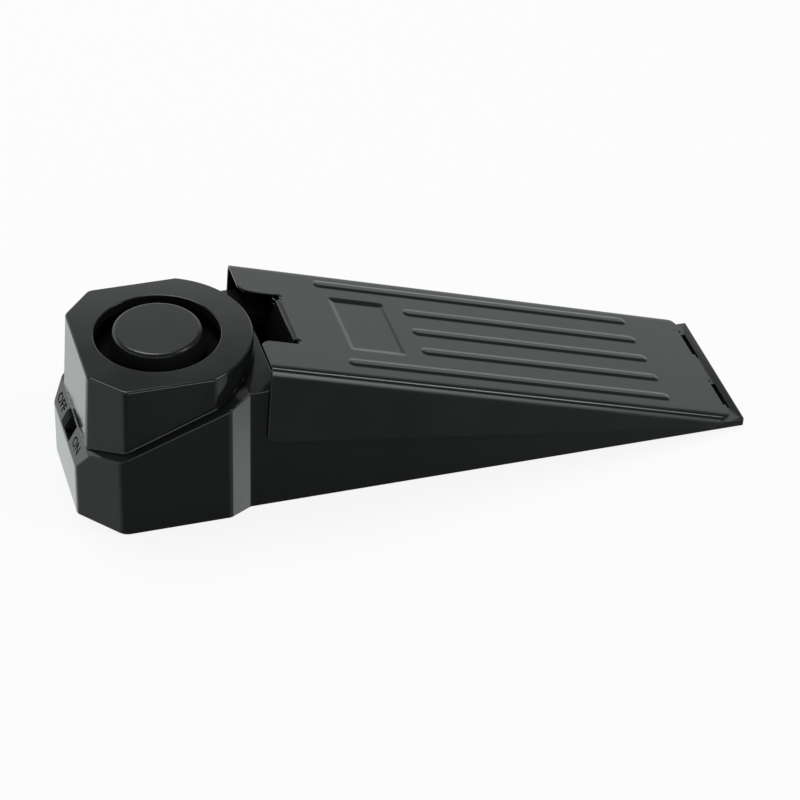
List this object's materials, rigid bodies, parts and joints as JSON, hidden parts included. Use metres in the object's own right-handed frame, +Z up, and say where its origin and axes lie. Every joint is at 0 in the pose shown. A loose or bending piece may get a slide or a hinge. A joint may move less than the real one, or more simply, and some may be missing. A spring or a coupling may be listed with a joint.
{
  "type": "door stop alarm",
  "caption": "Battery door wedge alarm: moulded housing with a siren head, sprung steel pressure plate, slide switch, and a battery bay and rubber pads below.",
  "frame": {"origin": "middle of the underside, where the rubber pads meet the floor", "axes": "+X along the wedge to its thin tip, +Y to the side that is left when the tip is ahead, +Z up"},
  "size_m": [0.145, 0.0406, 0.0362],
  "materials": {
    "black_abs": "satin moulded ABS, dyed black",
    "black_painted_steel": "satin black paint on pressed steel sheet",
    "black_rubber": "matt",
    "brass": "rolled",
    "ceramic": "silvered ceramic",
    "circuit_board": "solder mask",
    "chip_epoxy": "moulded epoxy",
    "ferrite": "matt",
    "spring_steel": "bright drawn",
    "zinc_plated_steel": "zinc plated",
    "battery_jacket": "plain jacket",
    "red_vinyl": "wire insulation",
    "black_vinyl": "wire insulation",
    "white_vinyl": "wire insulation"
  },
  "bodies": {
    "housing": {"alarm_chip": "chip_epoxy", "base_housing": "black_abs", "battery": "battery_jacket", "battery_lead_black": "black_vinyl", "battery_lead_red": "red_vinyl", "battery_snap": "black_vinyl", "board_screw_left": "zinc_plated_steel", "board_screw_right": "zinc_plated_steel", "bottom_cover": "black_abs", "circuit_board": "circuit_board", "driver_transistor": "chip_epoxy", "front_pad": "black_rubber", "head_cover": "black_abs", "head_screw_left": "zinc_plated_steel", "head_screw_right": "zinc_plated_steel", "middle_screw_left": "zinc_plated_steel", "middle_screw_right": "zinc_plated_steel", "piezo_ceramic": "ceramic", "piezo_plate": "brass", "rear_pad": "black_rubber", "rear_screw_left": "zinc_plated_steel", "rear_screw_right": "zinc_plated_steel", "resistor_front": "chip_epoxy", "resistor_rear": "chip_epoxy", "return_spring_left": "spring_steel", "return_spring_right": "spring_steel", "siren_cap": "black_abs", "slide_switch_case": "black_abs", "smoothing_capacitor": "zinc_plated_steel", "sounder_cup": "black_abs", "sounder_lead_black": "black_vinyl", "sounder_lead_red": "red_vinyl", "step_up_coil": "ferrite", "switch_lead_left": "white_vinyl", "switch_lead_right": "white_vinyl", "tip_pad": "black_rubber", "tip_screw_left": "zinc_plated_steel", "tip_screw_right": "zinc_plated_steel", "trip_lead_left": "white_vinyl", "trip_lead_right": "white_vinyl", "trip_switch_case": "chip_epoxy"},
    "plate": {"pressure_plate": "black_painted_steel"},
    "lever": {"trip_lever": "spring_steel"},
    "button": {"trip_button": "zinc_plated_steel"},
    "slider": {"switch_slider": "black_abs"},
    "door": {"battery_door": "black_abs"}
  },
  "joints": [
    {"name": "plate_press", "type": "hinge", "parent": "housing", "child": "plate", "pos_m": [0.0695, 0, 0.0025], "axis": [0, -1, 0], "range_deg": [0, 2.4], "stiffness_Nm_per_rad": 2, "springref_deg": -1.72, "deforming": ["return_spring_left", "return_spring_right"]},
    {"name": "lever_swing", "type": "hinge", "parent": "housing", "child": "lever", "pos_m": [0.01222, 0, 0.01523], "axis": [0, -1, 0], "range_deg": [0, 12.7]},
    {"name": "button_press", "type": "slide", "parent": "housing", "child": "button", "axis": [-0.2656, 0, -0.9641], "range_m": [0, 0.0005]},
    {"name": "switch_slide", "type": "slide", "parent": "housing", "child": "slider", "axis": [0, -1, 0], "range_m": [0, 0.0035]},
    {"name": "door_swing", "type": "hinge", "parent": "housing", "child": "door", "pos_m": [0.0012, 0, 0.0004], "axis": [0, -1, 0], "range_deg": [0, 75]}
  ],
  "couplings": [
    {"joint": "lever_swing", "follows": "plate_press", "ratio": 5.2916},
    {"joint": "button_press", "follows": "plate_press", "m_per_rad": 0.011937}
  ]
}
